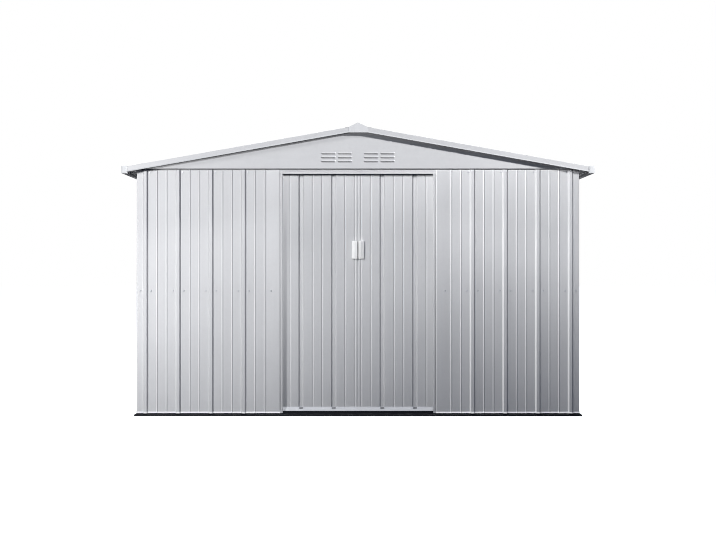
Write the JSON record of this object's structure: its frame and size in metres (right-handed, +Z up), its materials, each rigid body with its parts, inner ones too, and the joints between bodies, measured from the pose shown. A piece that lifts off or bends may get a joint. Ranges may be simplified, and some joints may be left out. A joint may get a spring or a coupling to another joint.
{
  "type": "metal storage shed",
  "caption": "Low-gabled ribbed sheet-steel garden shed with two sliding doors that run behind the front wall, louvred gables and a dark sill frame.",
  "frame": {"origin": "on the ground at the centre of the shed's bounding box", "axes": "+Z up, +X along the front wall to the right of someone facing the doors, the doors face -Y"},
  "size_m": [3.192, 2.438, 1.984],
  "materials": {
    "sheet_steel": "satin silver coating on ribbed galvanised sheet",
    "trim_steel": "satin light silver coating on folded trim",
    "frame_steel": "bare galvanised channel with a dull spangle",
    "sill_black": "satin black coated steel sill",
    "cap_plastic": "matt moulded light grey",
    "handle_white": "semi-gloss moulded white",
    "glide_nylon": "plain white nylon"
  },
  "bodies": {
    "root": {"sill_front": "sill_black", "sill_back": "sill_black", "sill_left": "sill_black", "sill_right": "sill_black", "front_wall_left": "sheet_steel", "front_wall_right": "sheet_steel", "back_wall": "sheet_steel", "left_wall": "sheet_steel", "right_wall": "sheet_steel", "front_gable": "sheet_steel", "back_gable": "sheet_steel", "corner_posts": "frame_steel", "door_jamb_left": "trim_steel", "door_jamb_right": "trim_steel", "door_header": "trim_steel", "door_track": "frame_steel", "brace_front": "frame_steel", "brace_back": "frame_steel", "brace_sides": "frame_steel", "top_rail_back": "frame_steel", "top_rail_sides": "frame_steel", "ridge_beam": "frame_steel", "roof_purlins": "frame_steel", "roof_left": "sheet_steel", "roof_right": "sheet_steel", "verge_front_left": "trim_steel", "verge_front_right": "trim_steel", "verge_back_left": "trim_steel", "verge_back_right": "trim_steel", "eave_trim_left": "trim_steel", "eave_trim_right": "trim_steel", "eave_corner_caps": "cap_plastic", "ridge_cap": "trim_steel", "ridge_end_caps": "cap_plastic"},
    "door_left": {"door_left_sheet": "sheet_steel", "door_left_stiles": "frame_steel", "door_left_rails": "frame_steel", "door_left_glides": "glide_nylon", "door_left_handle": "handle_white"},
    "door_right": {"door_right_sheet": "sheet_steel", "door_right_stiles": "frame_steel", "door_right_rails": "frame_steel", "door_right_glides": "glide_nylon", "door_right_handle": "handle_white"}
  },
  "joints": [
    {"name": "door_left_slide", "type": "slide", "parent": "root", "child": "door_left", "axis": [-1, 0, 0], "range_m": [0, 0.465]},
    {"name": "door_right_slide", "type": "slide", "parent": "root", "child": "door_right", "axis": [1, 0, 0], "range_m": [0, 0.465]}
  ]
}
